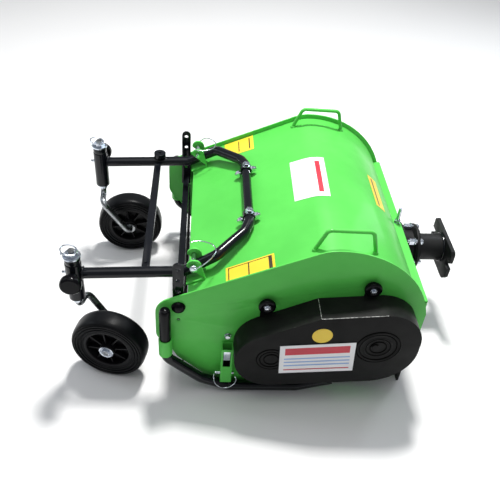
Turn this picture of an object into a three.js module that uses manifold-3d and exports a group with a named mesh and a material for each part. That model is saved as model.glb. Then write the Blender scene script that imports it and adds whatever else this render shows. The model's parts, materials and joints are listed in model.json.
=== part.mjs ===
// A flail mower attachment for a two-wheel tractor: a sheet-steel hood over a hammer rotor, a belt drive
// under a black cover on the left, two trailing casters on a tube frame in front, a height-adjustable
// skid on each side and a power take-off coupling at the back. Millimetres, +X is the way it is
// driven, +Y is its left side and +Z is up; the ground is z = 0.
import * as THREE from 'three';
import { mergeVertices } from 'three/addons/utils/BufferGeometryUtils.js';
import Module from 'manifold-3d';

const wasm = await Module();
wasm.setup();

// ---- driving dimensions ------------------------------------------------------------------------
// Everything below is placed in the machine's own frame: x = 0 at the hood's front edge, y = 0 midway
// between the side plates. ORIGIN_X and ORIGIN_Y move that to the middle of the object's box.
const ORIGIN_X = 218;
const ORIGIN_Y = -19;
const GAP = 0.3; // between pieces that touch
const TUBE_WALL = 2.5;
const SIDES = 20; // round pieces

const PLATE_OUTER = 310; // half the width over the side plates
const PLATE_T = 4;
const PLATE_INNER = PLATE_OUTER - PLATE_T;
const PLATE_BOTTOM = 7;
const NOSE_X = 72;
const NOSE_R = 50;
const PLATE_REAR_X = -591.7;

// The roof line: a straight slope, a short crown arc and a large rear arc.
const ROOF_FRONT_Z = 332;
const ROOF_SLOPE = THREE.MathUtils.degToRad(24.2);
const CROWN_X = -347.2;
const CROWN_R = 115;
const REAR_R = 250;
const ROOF_RIM = 12; // how far the side plates stand above the hood's skin
const HOOD_T = 3;
const HOOD_REAR_ANGLE = THREE.MathUtils.degToRad(156.4);

const ROTOR_X = -211;
const ROTOR_Z = 183;
const ROTOR_TUBE_R = 38;
const FLAIL_PIVOT_R = 68;
const FLAIL_LENGTH = 86;
const FLAIL_WIDTH = 76;
const FLAIL_PITCH = 92;
const FLAILS_PER_ROW = 3;

const DRIVE_X = -465;
const DRIVE_Z = 237;
const SHAFT_R = 12.5;
const DRIVE_PULLEY_R = 62;
const ROTOR_PULLEY_R = 42;
const BELT_T = 8;
const BELT_Y = [332, 356];
const COUPLING_REAR_X = -733;

const COVER_FRONT_Y = 379;
const COVER_T = 2.5;

const CASTER_X = 268;
const CASTER_Y = 241;
const CASTER_TUBE_R = 20;
const CASTER_TUBE_Z = [250, 362];
const CASTER_TRAIL = 75;
const CASTER_REACH = 52; // how far the crank stands inboard of the caster's axis
const CRANK_Z = 215;
const SPINDLE_R = 9;
const SPINDLE_TOP = 402;
const WHEEL_R = 99;
const WHEEL_HALF = 28.7;
const WHEEL_OFFSET = 4.6; // wheel's mid plane, outboard of the caster's axis
const TYRE_BORE_R = 64;
const LEFT_SWIVEL = THREE.MathUtils.degToRad(-13);
const RIGHT_SWIVEL = THREE.MathUtils.degToRad(2);

const ARM_R = 14;
const ARM_Z = 328; // at the caster tube
const CLEVIS_X = -17;
const CLEVIS_PIN_Z = 380;
const CLEVIS_PIN_R = 6;
const CLEVIS_HALF_GAP = 22;
const JOINT_X = -152;
const JOINT_Y = 101;
const JOINT_Z = 409;

const SKID_X = 48;
const SKID_Y = 328;
const SKID_R = 13.5;
const SKID_BAR_X = -106;
const SKID_PIN_Z = 64;
const SKID_TRAVEL = 75;

// ---- materials ---------------------------------------------------------------------------------
const paint = (color, roughness, metalness) =>
  new THREE.MeshStandardMaterial({ color, roughness, metalness });
const green = paint(0x3cc83c, 0.4, 0.1);
const black = paint(0x14161a, 0.45, 0.2);
const castBlack = paint(0x1a1b1c, 0.6, 0.3);
const zinc = paint(0xb9c2cc, 0.25, 1);
const steel = paint(0x8c8f94, 0.45, 1);
const rubber = paint(0x1b1c1e, 0.8, 0);
const plastic = paint(0x101113, 0.5, 0);

// ---- shape helpers -----------------------------------------------------------------------------
// A closed geometry as a solid, with its faces turned outwards.
function solid(geometry) {
  const bare = geometry.clone();
  bare.deleteAttribute('normal');
  bare.deleteAttribute('uv');
  const merged = mergeVertices(bare, 1e-3);
  const position = merged.getAttribute('position');
  const index = merged.index.array;
  const corner = [new THREE.Vector3(), new THREE.Vector3(), new THREE.Vector3()];
  const faces = [];
  let volume = 0;
  for (let i = 0; i < index.length; i += 3) {
    const [a, b, c] = [index[i], index[i + 1], index[i + 2]];
    if (a === b || b === c || c === a) continue;
    faces.push(a, b, c);
    [a, b, c].forEach((v, k) => corner[k].fromBufferAttribute(position, v));
    volume += corner[0].dot(corner[1].cross(corner[2]));
  }
  if (volume < 0) faces.reverse();
  return new wasm.Manifold(
    new wasm.Mesh({
      numProp: 3,
      vertProperties: new Float32Array(position.array),
      triVerts: new Uint32Array(faces),
    }),
  );
}

function join(...pieces) {
  return pieces.reduce((whole, piece) => whole.add(piece));
}

function cut(whole, ...tools) {
  return tools.reduce((rest, tool) => rest.subtract(tool), whole);
}

function block([x0, x1], [y0, y1], [z0, z1]) {
  const size = [x1 - x0, y1 - y0, z1 - z0].map(Math.abs);
  const box = new THREE.BoxGeometry(...size);
  return solid(box.translate((x0 + x1) / 2, (y0 + y1) / 2, (z0 + z1) / 2));
}

// Turns a geometry made about the Y axis onto the named axis, and moves it to (u, v) across it.
function onto(axis, geometry, [u, v]) {
  if (axis === 'x') return geometry.rotateZ(-Math.PI / 2).translate(0, u, v);
  if (axis === 'z') return geometry.rotateX(Math.PI / 2).translate(u, v, 0);
  return geometry.translate(u, 0, v);
}

function rod(axis, [from, to], radius, at, sides = SIDES) {
  const geometry = new THREE.CylinderGeometry(radius, radius, Math.abs(to - from), sides);
  return solid(onto(axis, geometry.translate(0, (from + to) / 2, 0), at));
}

// Turns a closed profile of [radius, distance along the axis] points.
function turned(axis, profile, at, sides = SIDES) {
  const points = profile.map(([r, t]) => new THREE.Vector2(r, t));
  points.push(points[0].clone());
  return solid(onto(axis, new THREE.LatheGeometry(points, sides), at));
}

// An outline in the XZ plane, made thick along Y.
function plate(shape, [y0, y1], curveSegments = 8) {
  const depth = Math.abs(y1 - y0);
  const geometry = new THREE.ExtrudeGeometry(shape, { depth, bevelEnabled: false, curveSegments });
  return solid(geometry.rotateX(Math.PI / 2).translate(0, Math.max(y0, y1), 0));
}

function polygon(points) {
  return new THREE.Shape(points.map(([x, z]) => new THREE.Vector2(x, z)));
}

// A route of straight runs joined by round bends; it is sampled only where it turns.
class Route extends THREE.Curve {
  constructor(corners, bend) {
    super();
    this.samples = [];
    const at = corners.map((p) => new THREE.Vector3(...p));
    const way = at.slice(1).map((p, i) => p.clone().sub(at[i]).normalize());
    this.samples.push([at[0], way[0]]);
    for (let i = 1; i < at.length - 1; i++) this.turn(at[i], way[i - 1], way[i], bend);
    this.samples.push([at.at(-1), way.at(-1)]);
  }

  turn(corner, before, after, bend) {
    const angle = before.angleTo(after);
    const reach = bend * Math.tan(angle / 2);
    const inward = after.clone().sub(before).normalize();
    const centre = corner.clone().addScaledVector(inward, bend / Math.cos(angle / 2));
    const start = corner.clone().addScaledVector(before, -reach).sub(centre);
    const axis = before.clone().cross(after).normalize();
    const steps = Math.max(2, Math.ceil(angle / 0.3));
    for (let i = 0; i <= steps; i++) {
      const part = (angle * i) / steps;
      const point = start.clone().applyAxisAngle(axis, part).add(centre);
      this.samples.push([point, before.clone().applyAxisAngle(axis, part)]);
    }
  }

  sample(u) {
    return this.samples[Math.round(u * (this.samples.length - 1))];
  }

  getPointAt(u) {
    return this.sample(u)[0].clone();
  }

  getTangentAt(u) {
    return this.sample(u)[1].clone();
  }
}

function ring(radius, sides) {
  const turnOf = (i) => ((i + 0.5) / sides) * 2 * Math.PI;
  return Array.from({ length: sides }, (_, i) => [
    radius * Math.cos(turnOf(i)),
    radius * Math.sin(turnOf(i)),
  ]);
}

function bentRod(corners, radius, bend, sides = 12, wall = 0) {
  const extrudePath = new Route(corners, bend);
  const steps = extrudePath.samples.length - 1;
  const section = polygon(ring(radius, sides));
  if (wall) section.holes.push(polygon(ring(radius - wall, sides)));
  return solid(new THREE.ExtrudeGeometry(section, { steps, extrudePath }));
}

// ---- the scene graph ---------------------------------------------------------------------------
const machine = new THREE.Group();
machine.position.set(ORIGIN_X, ORIGIN_Y, 0);
const mower = new THREE.Group();
mower.add(machine);

function place(name, made, material, group = machine) {
  const data = made.getMesh();
  const geometry = new THREE.BufferGeometry();
  geometry.setAttribute('position', new THREE.BufferAttribute(data.vertProperties, 3));
  geometry.setIndex(new THREE.BufferAttribute(data.triVerts, 1));
  geometry.computeVertexNormals();
  const mesh = new THREE.Mesh(geometry, material);
  mesh.name = name;
  group.add(mesh);
}

// Left is +1 and right is -1; a side's y values are mirrored by multiplying them by it.
const BOTH_SIDES = [
  ['left', 1],
  ['right', -1],
];
const mirrored = (side, ...values) => values.map((y) => side * y);

// ---- hood and side plates ----------------------------------------------------------------------
const crownZ = ROOF_FRONT_Z + (300 * Math.sin(ROOF_SLOPE)) / Math.cos(ROOF_SLOPE) - CROWN_R * Math.cos(ROOF_SLOPE);
const rearZ = crownZ + CROWN_R - REAR_R;

// Draws the roof line on a shape, a given depth under the side plates' top edge.
function drawRoof(shape, depth, endAngle, backwards = false) {
  const start = [-depth * Math.sin(ROOF_SLOPE), ROOF_FRONT_Z - depth * Math.cos(ROOF_SLOPE)];
  const slope = Math.PI / 2 - ROOF_SLOPE;
  if (backwards) {
    shape.absarc(CROWN_X, rearZ, REAR_R - depth, endAngle, Math.PI / 2, true);
    shape.absarc(CROWN_X, crownZ, CROWN_R - depth, Math.PI / 2, slope, true);
    shape.lineTo(...start);
    return;
  }
  shape.lineTo(...start);
  shape.absarc(CROWN_X, crownZ, CROWN_R - depth, slope, Math.PI / 2, false);
  shape.absarc(CROWN_X, rearZ, REAR_R - depth, Math.PI / 2, endAngle, false);
}

const hoodZ = (x) => ROOF_FRONT_Z - ROOF_RIM / Math.cos(ROOF_SLOPE) - x * Math.tan(ROOF_SLOPE);

function hoodShell() {
  const skin = new THREE.Shape();
  skin.moveTo(-ROOF_RIM * Math.sin(ROOF_SLOPE), ROOF_FRONT_Z - ROOF_RIM * Math.cos(ROOF_SLOPE));
  drawRoof(skin, ROOF_RIM, HOOD_REAR_ANGLE);
  drawRoof(skin, ROOF_RIM + HOOD_T, HOOD_REAR_ANGLE, true);
  const half = PLATE_INNER - GAP;
  return plate(skin, [-half, half], 12);
}

function hole(shape, x, z, radius) {
  const edge = ring(radius, 16).map(([u, v]) => new THREE.Vector2(x + u, z + v));
  shape.holes.push(new THREE.Path(edge));
}

function sidePlate(side) {
  const noseZ = 267.3;
  const outline = new THREE.Shape();
  outline.moveTo(20, 108);
  outline.lineTo(36, 142);
  outline.absarc(NOSE_X - 42, 200, 42, -Math.PI / 4, 0, false);
  outline.absarc(NOSE_X - NOSE_R, noseZ, NOSE_R, 0, Math.PI / 2 - ROOF_SLOPE, false);
  drawRoof(outline, 0, THREE.MathUtils.degToRad(168));
  outline.absarc(PLATE_REAR_X + 185, PLATE_BOTTOM + 185, 185, Math.PI, Math.PI * 1.5, false);
  outline.lineTo(-82, PLATE_BOTTOM);
  hole(outline, ROTOR_X, ROTOR_Z, 20);
  hole(outline, 17, 245, 4.5);
  if (side > 0) {
    hole(outline, DRIVE_X, DRIVE_Z, 17);
    COVER_KNOBS.forEach(([x, z]) => hole(outline, x, z, 5.6));
  }
  return plate(outline, mirrored(side, PLATE_INNER, PLATE_OUTER));
}

// The rear cross member: a flange behind the hood's edge over a panel that carries the drive.
function rearPanel() {
  const half = PLATE_INNER - GAP;
  const flange = block([-587, -566], [-half, half], [318, 321]);
  const panel = block([-587, -584], [-half, half], [170, 321]);
  return cut(join(flange, panel), rod('x', [-600, -570], 16, [0, DRIVE_Z]));
}

// ---- drive -------------------------------------------------------------------------------------
const GEARBOX_X = [-583.7, -410];

function gearbox() {
  const body = block([-520, GEARBOX_X[1]], [-52, 48], [182, 292]);
  const snout = rod('x', [GEARBOX_X[0], -518], 30, [0, DRIVE_Z]);
  const crossTube = rod('y', [40, PLATE_INNER - GAP], 27, [DRIVE_X, DRIVE_Z]);
  const inside = block([-508, -422], [-42, 38], [194, 280]);
  const shaftBore = rod('x', [-600, -500], SHAFT_R + 1, [0, DRIVE_Z]);
  const crossBore = rod('y', [30, 320], SHAFT_R + 1, [DRIVE_X, DRIVE_Z]);
  return cut(join(body, snout, crossTube), inside, shaftBore, crossBore);
}

// A mitre gear about the X axis: a cone of teeth that narrows towards +X.
const GEAR_TEETH = 10;
const GEAR_R = 30;
const GEAR_FACE = 14;

function mitreGear(phase) {
  const root = GEAR_R - 3;
  const tip = root - GEAR_FACE;
  const hub = turned('x', [[SHAFT_R - 0.5, 0], [root, 0], [tip, GEAR_FACE], [SHAFT_R - 0.5, GEAR_FACE]], [0, 0], 20);
  const flank = polygon([[0, root - 2], [0, root + 4], [GEAR_FACE, tip + 4], [GEAR_FACE, tip - 2]]);
  const teeth = Array.from({ length: GEAR_TEETH }, (_, i) =>
    plate(flank, [-1.5, 1.5]).rotate([(360 * (i + phase)) / GEAR_TEETH, 0, 0]),
  );
  return join(hub, ...teeth);
}

function inputShaft() {
  const shaft = rod('x', [-680, -491], SHAFT_R, [0, DRIVE_Z]);
  const dog = rod('x', [-700, -668], 20, [0, DRIVE_Z]);
  const slots = block([-710, -688], [-30, 30], [DRIVE_Z - 5, DRIVE_Z + 5]);
  const gear = mitreGear(0.5).translate([DRIVE_X - GEAR_R, 0, DRIVE_Z]);
  return join(cut(join(shaft, dog), slots), gear);
}

function crossShaft() {
  const shaft = rod('y', [10, 322], SHAFT_R, [DRIVE_X, DRIVE_Z]);
  const gear = mitreGear(0).rotate([0, 0, -90]).translate([DRIVE_X, GEAR_R, DRIVE_Z]);
  return join(shaft, gear);
}

function pulley(radius, [x, z]) {
  const bottom = radius - GAP;
  const rim = radius + BELT_T + 1;
  const [y0, y1] = BELT_Y;
  return turned('y', [[0.01, y0 - 8], [rim, y0 - 6], [rim, y0 - 1], [bottom, y0 - 1], [bottom, y1 + 1],
    [rim, y1 + 1], [rim, y1 + 6], [0.01, y1 + 6]], [x, z], 24);
}

function beltLoop(extra) {
  const dx = ROTOR_X - DRIVE_X;
  const dz = ROTOR_Z - DRIVE_Z;
  const lean = Math.atan2(dz, dx);
  const wrap = Math.acos((DRIVE_PULLEY_R - ROTOR_PULLEY_R) / Math.hypot(dx, dz));
  const loop = new THREE.Shape();
  loop.absarc(ROTOR_X, ROTOR_Z, ROTOR_PULLEY_R + extra, lean - wrap, lean + wrap, false);
  loop.absarc(DRIVE_X, DRIVE_Z, DRIVE_PULLEY_R + extra, lean + wrap, lean - wrap + 2 * Math.PI, false);
  return loop;
}

function driveBelt() {
  return cut(plate(beltLoop(BELT_T), BELT_Y, 12), plate(beltLoop(0), [BELT_Y[0] - 1, BELT_Y[1] + 1], 12));
}

function couplingHousing() {
  return turned('x', [[14, -587.3], [72, -587.3], [72, -598], [52, -602], [50, -630], [66, -636], [66, -642],
    [60, -647], [38, -650], [38, -721.7], [28, -721.7], [28, -655], [14, -650]], [0, DRIVE_Z], 28);
}

function couplingFlange() {
  // An open-ended slot for a stud cuts into each side of the plate.
  const half = [[76, 47], [84, 39], [84, 10], [62, 10], [62, -10], [84, -10], [84, -40], [71, -56], [58, -60]];
  const rim = [...half, ...half.map(([y, z]) => [-y, z]).reverse()];
  const shape = new THREE.Shape(rim.map(([y, z]) => new THREE.Vector2(y, z)));
  hole(shape, 0, 0, 28);
  const geometry = new THREE.ExtrudeGeometry(shape, { depth: 11, bevelEnabled: false });
  const facing = new THREE.Matrix4().makeBasis(
    new THREE.Vector3(0, 1, 0),
    new THREE.Vector3(0, 0, 1),
    new THREE.Vector3(1, 0, 0),
  );
  return solid(geometry.applyMatrix4(facing).translate(COUPLING_REAR_X, 0, DRIVE_Z));
}

// ---- rotor -------------------------------------------------------------------------------------
// Flails hang in two rows, ahead of and behind the rotor tube, staggered so that they cover the width.
const flailRows = [1, -1].flatMap((row) =>
  Array.from({ length: FLAILS_PER_ROW }, (_, i) => ({
    x: ROTOR_X + row * FLAIL_PIVOT_R,
    y: (2 * i - FLAILS_PER_ROW + 1) * FLAIL_PITCH + (row * FLAIL_PITCH) / 2,
    row,
  })),
);

function rotor() {
  const tube = rod('y', [-288, 288], ROTOR_TUBE_R, [ROTOR_X, ROTOR_Z]);
  const stubs = rod('y', [-322, 322], 15, [ROTOR_X, ROTOR_Z], 16);
  const lugs = flailRows.flatMap(({ x, y, row }) =>
    [-1, 1].map((end) => {
      const inner = y + end * (FLAIL_WIDTH / 2 + 1);
      const outer = inner + end * 6;
      const span = [Math.min(inner, outer), Math.max(inner, outer)];
      const web = block([ROTOR_X + row * 30, x + row * 2], span, [ROTOR_Z - 14, ROTOR_Z + 14]);
      const eye = rod('y', span, 14, [x, ROTOR_Z], 10);
      return cut(join(web, eye), rod('y', [span[0] - 1, span[1] + 1], 6.9, [x, ROTOR_Z], 10));
    }),
  );
  // The tube is hollow; the right stub is drilled, as it is for turning between centres.
  const inside = rod('y', [-278, 278], ROTOR_TUBE_R - 5, [ROTOR_X, ROTOR_Z]);
  const drilling = rod('y', [-330, -270], 4, [ROTOR_X, ROTOR_Z], 8);
  return join(cut(join(tube, stubs), inside, drilling), ...lugs);
}

function flail({ x, y }) {
  const half = FLAIL_WIDTH / 2;
  const bolt = rod('y', [y - half - 10, y + half + 10], 6, [x, ROTOR_Z], 10);
  const eye = rod('y', [y - half, y + half], 13, [x, ROTOR_Z], 12);
  const blade = block([x - 5, x + 5], [y - half, y + half], [ROTOR_Z - FLAIL_LENGTH + 12, ROTOR_Z]);
  const edge = plate(
    polygon([[x - 5, ROTOR_Z - FLAIL_LENGTH + 14], [x + 5, ROTOR_Z - FLAIL_LENGTH + 14],
      [x + 13, ROTOR_Z - FLAIL_LENGTH], [x + 1, ROTOR_Z - FLAIL_LENGTH]]),
    [y - half, y + half],
  );
  return join(bolt, eye, blade, edge);
}

function rotorBearing(side) {
  const [inner, outer] = mirrored(side, PLATE_OUTER + GAP, PLATE_OUTER + 13);
  return cut(rod('y', [inner, outer], 44, [ROTOR_X, ROTOR_Z], 24), rod('y', [280, 330].map((y) => side * y), 15.6, [ROTOR_X, ROTOR_Z]));
}

// ---- belt cover --------------------------------------------------------------------------------
const COVER_KNOBS = [
  [-194, 310],
  [-438, 373],
];

function coverOutline(inset) {
  const shape = new THREE.Shape();
  shape.moveTo(-471, 103 + inset);
  shape.lineTo(-214, 82 + inset);
  shape.absarc(-214, 175, 93 - inset, -Math.PI / 2, THREE.MathUtils.degToRad(64), false);
  shape.lineTo(-315.6 - inset * 0.3, 329 - inset);
  shape.absarc(-470, 244, 100 - inset, Math.PI / 2, Math.PI, false);
  shape.absarc(-457, 216, 113 - inset, Math.PI, THREE.MathUtils.degToRad(262), false);
  return shape;
}

function raisedRing(x, z, radius) {
  const y = COVER_FRONT_Y;
  return turned('y', [[radius - 5, y - 1], [radius - 3, y + 1], [radius + 3, y + 1], [radius + 5, y - 1]], [x, z], 28);
}

function beltCover() {
  const back = PLATE_OUTER + GAP;
  const shell = cut(
    plate(coverOutline(0), [back, COVER_FRONT_Y]),
    plate(coverOutline(COVER_T), [back - 1, COVER_FRONT_Y - COVER_T]),
  );
  const tabs = COVER_KNOBS.map(([x, z]) =>
    cut(
      join(block([x - 14, x + 14], [back, back + 2.5], [z - 45, z]), rod('y', [back, back + 2.5], 14, [x, z])),
      rod('y', [300, 330], 5.6, [x, z]),
    ),
  );
  const cavity = plate(coverOutline(COVER_T), [back - 1, COVER_FRONT_Y - COVER_T]);
  const boss = rod('y', [COVER_FRONT_Y - 1, COVER_FRONT_Y + 4], 9, [-459, 236]);
  const rings = [raisedRing(-211, 183, 33), raisedRing(-471, 232, 50), raisedRing(-467, 233, 31)];
  return cut(join(shell, ...tabs, ...rings, boss), cavity);
}

function coverKnob([x, z]) {
  const grip = turned('y', [[5, 318], [19, 318], [21, 320], [21, 326], [18, 329], [5, 329]], [x, z], 24);
  return join(grip, rod('y', [303, 334], 5.1, [x, z], 16));
}

// ---- caster frame ------------------------------------------------------------------------------
function frontArm(side) {
  const route = [
    [CASTER_X - 10, CASTER_Y, ARM_Z - 0.6],
    [8, CASTER_Y, 341.5],
    [-72, 232, 388],
    [-140, 160, 405],
    [JOINT_X, 128, JOINT_Z],
    [JOINT_X, JOINT_Y, JOINT_Z],
  ];
  const arm = bentRod(route.map(([x, y, z]) => [x, side * y, z]), ARM_R, 30, 12, TUBE_WALL);
  return cut(arm, rod('z', [300, 360], CASTER_TUBE_R + GAP, [CASTER_X, side * CASTER_Y], 24));
}

function casterTube(side) {
  const at = [CASTER_X, side * CASTER_Y];
  const tube = rod('z', CASTER_TUBE_Z, CASTER_TUBE_R, at, 24);
  const knobBoss = rod('y', [15, 34].map((y) => side * (CASTER_Y + y)), 11, [CASTER_X, 334], 16);
  const nipple = rod('x', [CASTER_X + 15, CASTER_X + 29], 4, [side * CASTER_Y, 331], 12);
  const bore = rod('z', [200, 400], SPINDLE_R + 0.5, at, 24);
  const screwHole = rod('y', [5, 40].map((y) => side * (CASTER_Y + y)), 5.5, [CASTER_X, 334], 16);
  return cut(join(tube, knobBoss, nipple), bore, screwHole);
}

function lockKnob(side) {
  const out = (y) => side * (CASTER_Y + y);
  const grip = turned('y', [[4, out(35)], [20, out(35)], [26, out(39)], [26, out(55)], [23, out(59)], [4, out(59)]],
    [CASTER_X, 334], 24);
  return join(grip, rod('y', [out(9.6), out(50)], 5, [CASTER_X, 334], 14));
}

function brace() {
  const half = CASTER_Y - ARM_R - GAP;
  return cut(block([90, 109], [-half, half], [331, 343]), rod('z', [320, 350], 3.5, [100, 214], 12));
}

function braceBoss() {
  return cut(rod('z', [352.2, 367], 17, [94, -CASTER_Y], 24), rod('z', [340, 370], 4.5, [94, -CASTER_Y], 12));
}

function clevis(side) {
  const foot = hoodZ(CLEVIS_X) + GAP / Math.cos(ROOF_SLOPE);
  const onSlope = (x, lift) => [x, foot + (CLEVIS_X - x) * Math.tan(ROOF_SLOPE) + lift];
  const base = polygon([onSlope(0, 0), onSlope(0, 5), onSlope(-46, 5), onSlope(-46, 0)]);
  const ear = new THREE.Shape();
  ear.moveTo(...onSlope(0, 2));
  ear.absarc(CLEVIS_X - 1, CLEVIS_PIN_Z, 17.5, 0, Math.PI, false);
  ear.lineTo(...onSlope(-46, 2));
  hole(ear, CLEVIS_X, CLEVIS_PIN_Z, CLEVIS_PIN_R + 0.5);
  const ears = [-1, 1].map((end) => {
    const middle = CASTER_Y + end * CLEVIS_HALF_GAP;
    return plate(ear, mirrored(side, middle - 2.5, middle + 2.5));
  });
  return join(plate(base, mirrored(side, CASTER_Y - 26, CASTER_Y + 26)), ...ears);
}

function clevisPin(side) {
  const out = (y) => side * (CASTER_Y + y);
  const shank = rod('y', [out(-34), out(28)], CLEVIS_PIN_R, [CLEVIS_X, CLEVIS_PIN_Z], 14);
  return join(shank, rod('y', [out(27), out(34)], 9, [CLEVIS_X, CLEVIS_PIN_Z], 14));
}

// ---- front guard and flaps ---------------------------------------------------------------------
function frontGuard() {
  const half = PLATE_INNER - GAP;
  const top = block([9, 26], [-half, half], [252, 256]);
  const web = block([9, 13], [-half, half], [228, 256]);
  const outline = new THREE.Shape();
  outline.moveTo(5, 228);
  outline.lineTo(31, 228);
  outline.absarc(18, 399, 13, 0, Math.PI, false);
  [251, 287, 323, 359, 395].forEach((z) => hole(outline, 18, z, 5.5));
  const uprights = [-1, 1].map((side) => plate(outline, mirrored(side, 288.5, 293.5)));
  return join(top, web, ...uprights);
}

function frontFlap() {
  return block([4, 8], [-284, 284], [56, 226]);
}

function rearFlap() {
  const sheet = block([-585, -579], [-300, 300], [4, 160]);
  return join(sheet, rod('y', [-302, 302], 5, [-582, 160], 12));
}

// ---- handles, skids ----------------------------------------------------------------------------
function grabHandle(side) {
  const lift = GAP + 1.5;
  const frontFoot = [-295, 276, hoodZ(-295) + lift + 2.6];
  const rearFoot = [-437, 276, 449 + lift];
  const route = [frontFoot, [-318, 276, 510], [-423, 276, 508], rearFoot];
  return bentRod(route.map(([x, y, z]) => [x, side * y, z]), 5, 14, 10);
}

function skidSocket(side) {
  const at = [SKID_X, side * SKID_Y];
  const sleeve = rod('z', [141, 196], 17, at, 24);
  const web = block([SKID_X - 7, SKID_X + 7], mirrored(side, PLATE_OUTER + GAP, 320), [146, 191]);
  return cut(join(sleeve, web), rod('z', [130, 210], SKID_R + 0.8, at, 24));
}

function skidChannel(side) {
  const wide = (half) => [SKID_BAR_X - half, SKID_BAR_X + half];
  const outer = block(wide(14.5), mirrored(side, PLATE_OUTER + GAP, 338), [38, 165]);
  const inner = block(wide(11.8), mirrored(side, 313.5, 335), [30, 170]);
  const opening = block(wide(9.5), mirrored(side, 330, 340), [100, 158]);
  const pinHole = rod('x', wide(20), 4.5, [side * 326, SKID_PIN_Z], 14);
  return cut(outer, inner, opening, pinHole);
}

function skid(side) {
  const route = [[SKID_X, 300], [SKID_X, 127.5], [-40, 45], [-112, SKID_R], [-295, SKID_R], [-388, 43]];
  const runner = bentRod(route.map(([x, z]) => [x, side * SKID_Y, z]), SKID_R, 40, 12, TUBE_WALL);
  // The post that is pinned at the chosen height: a channel section, open outwards.
  const wide = (half) => [SKID_BAR_X - half, SKID_BAR_X + half];
  const post = block(wide(11), mirrored(side, 317, 334.5), [20, 162]);
  const hollow = block(wide(8), mirrored(side, 320, 340), [34, 146]);
  const pinSlot = block(wide(20), mirrored(side, 321.4, 330.6), [SKID_PIN_Z - 5, SKID_PIN_Z + SKID_TRAVEL + 5]);
  return join(runner, cut(post, hollow, pinSlot));
}

function skidPin(side) {
  return rod('x', [SKID_BAR_X - 21, SKID_BAR_X + 27], 4, [side * 326, SKID_PIN_Z], 14);
}

// ---- casters -----------------------------------------------------------------------------------
// Each caster is built in its own frame, about its vertical axis, and then swivelled and set in place.
function casterCrank(side) {
  const inboard = -side * CASTER_REACH;
  const axleEnd = side * (WHEEL_OFFSET + WHEEL_HALF + 10);
  const route = [
    [0, 0, SPINDLE_TOP],
    [0, 0, CRANK_Z],
    [0, inboard, CRANK_Z],
    [-CASTER_TRAIL, inboard, WHEEL_R],
    [-CASTER_TRAIL, axleEnd, WHEEL_R],
  ];
  const collarEnd = side * (WHEEL_OFFSET - WHEEL_HALF - 3);
  const collar = rod('y', [collarEnd - side * 5, collarEnd], 16, [-CASTER_TRAIL, WHEEL_R], 16);
  const sleeve = rod('z', [238, CASTER_TUBE_Z[0] - GAP], 13, [0, 0]);
  return join(bentRod(route, SPINDLE_R, 22, 14), collar, sleeve);
}

function casterCap() {
  return turned('z', [[SPINDLE_R + 0.5, 362.3], [20, 362.3], [20, 380], [21.5, 380.5], [21.5, 385], [15, 386],
    [15, 396], [SPINDLE_R + 0.5, 396]], [0, 0], 24);
}

function tyre(middle) {
  const w = WHEEL_HALF;
  const profile = [[TYRE_BORE_R + GAP, -w + 5], [82, -w + 1], [92, -w], [97, -w + 5], [WHEEL_R, -14], [WHEEL_R, 14],
    [97, w - 5], [92, w], [82, w - 1], [TYRE_BORE_R + GAP, w - 5]];
  return turned('y', profile.map(([r, y]) => [r, y + middle]), [-CASTER_TRAIL, WHEEL_R], 32);
}

function wheelHub(middle) {
  const bore = SPINDLE_R + 0.5;
  const profile = [[bore, -30], [20, -30], [22, -4], [56, -4], [58, -24], [TYRE_BORE_R, -24], [TYRE_BORE_R, 24],
    [58, 24], [56, 4], [22, 4], [20, 30], [bore, 30]];
  const disc = turned('y', profile.map(([r, y]) => [r, y + middle]), [0, 0], 24);
  const ribs = Array.from({ length: 8 }, (_, i) =>
    block([18, 58], [middle - 20, middle + 20], [-2, 2]).rotate([0, i * 45, 0]),
  );
  return join(disc, ...ribs).translate([-CASTER_TRAIL, 0, WHEEL_R]);
}

function addCaster(name, side, swivel) {
  const caster = new THREE.Group();
  caster.position.set(CASTER_X, side * CASTER_Y, 0);
  caster.rotation.z = swivel;
  machine.add(caster);
  const middle = side * WHEEL_OFFSET;
  place(`caster_crank_${name}`, casterCrank(side), zinc, caster);
  place(`caster_cap_${name}`, casterCap(), zinc, caster);
  place(`tyre_${name}`, tyre(middle), rubber, caster);
  place(`wheel_hub_${name}`, wheelHub(middle), plastic, caster);
}

// ---- assembly ----------------------------------------------------------------------------------
place('hood_shell', hoodShell(), green);
place('rear_panel', rearPanel(), green);
place('gearbox_housing', gearbox(), castBlack);
place('input_shaft', inputShaft(), steel);
place('cross_shaft', crossShaft(), steel);
place('drive_pulley', pulley(DRIVE_PULLEY_R, [DRIVE_X, DRIVE_Z]), castBlack);
place('rotor_pulley', pulley(ROTOR_PULLEY_R, [ROTOR_X, ROTOR_Z]), castBlack);
place('drive_belt', driveBelt(), rubber);
place('coupling_housing', couplingHousing(), castBlack);
place('coupling_flange', couplingFlange(), castBlack);
place('rotor', rotor(), black);
flailRows.forEach((where, i) => place(`flail_${i + 1}`, flail(where), steel));
place('belt_cover', beltCover(), black);
COVER_KNOBS.forEach((at, i) => place(`cover_knob_${['front', 'rear'][i]}`, coverKnob(at), plastic));
place('frame_cross_tube', rod('y', [0.5 - JOINT_Y, JOINT_Y - 0.5], 12.5, [JOINT_X, JOINT_Z]), black);
place('brace_bar', brace(), black);
place('brace_boss', braceBoss(), steel);
place('front_guard', frontGuard(), black);
place('front_flap', frontFlap(), rubber);
place('rear_flap', rearFlap(), rubber);
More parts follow.
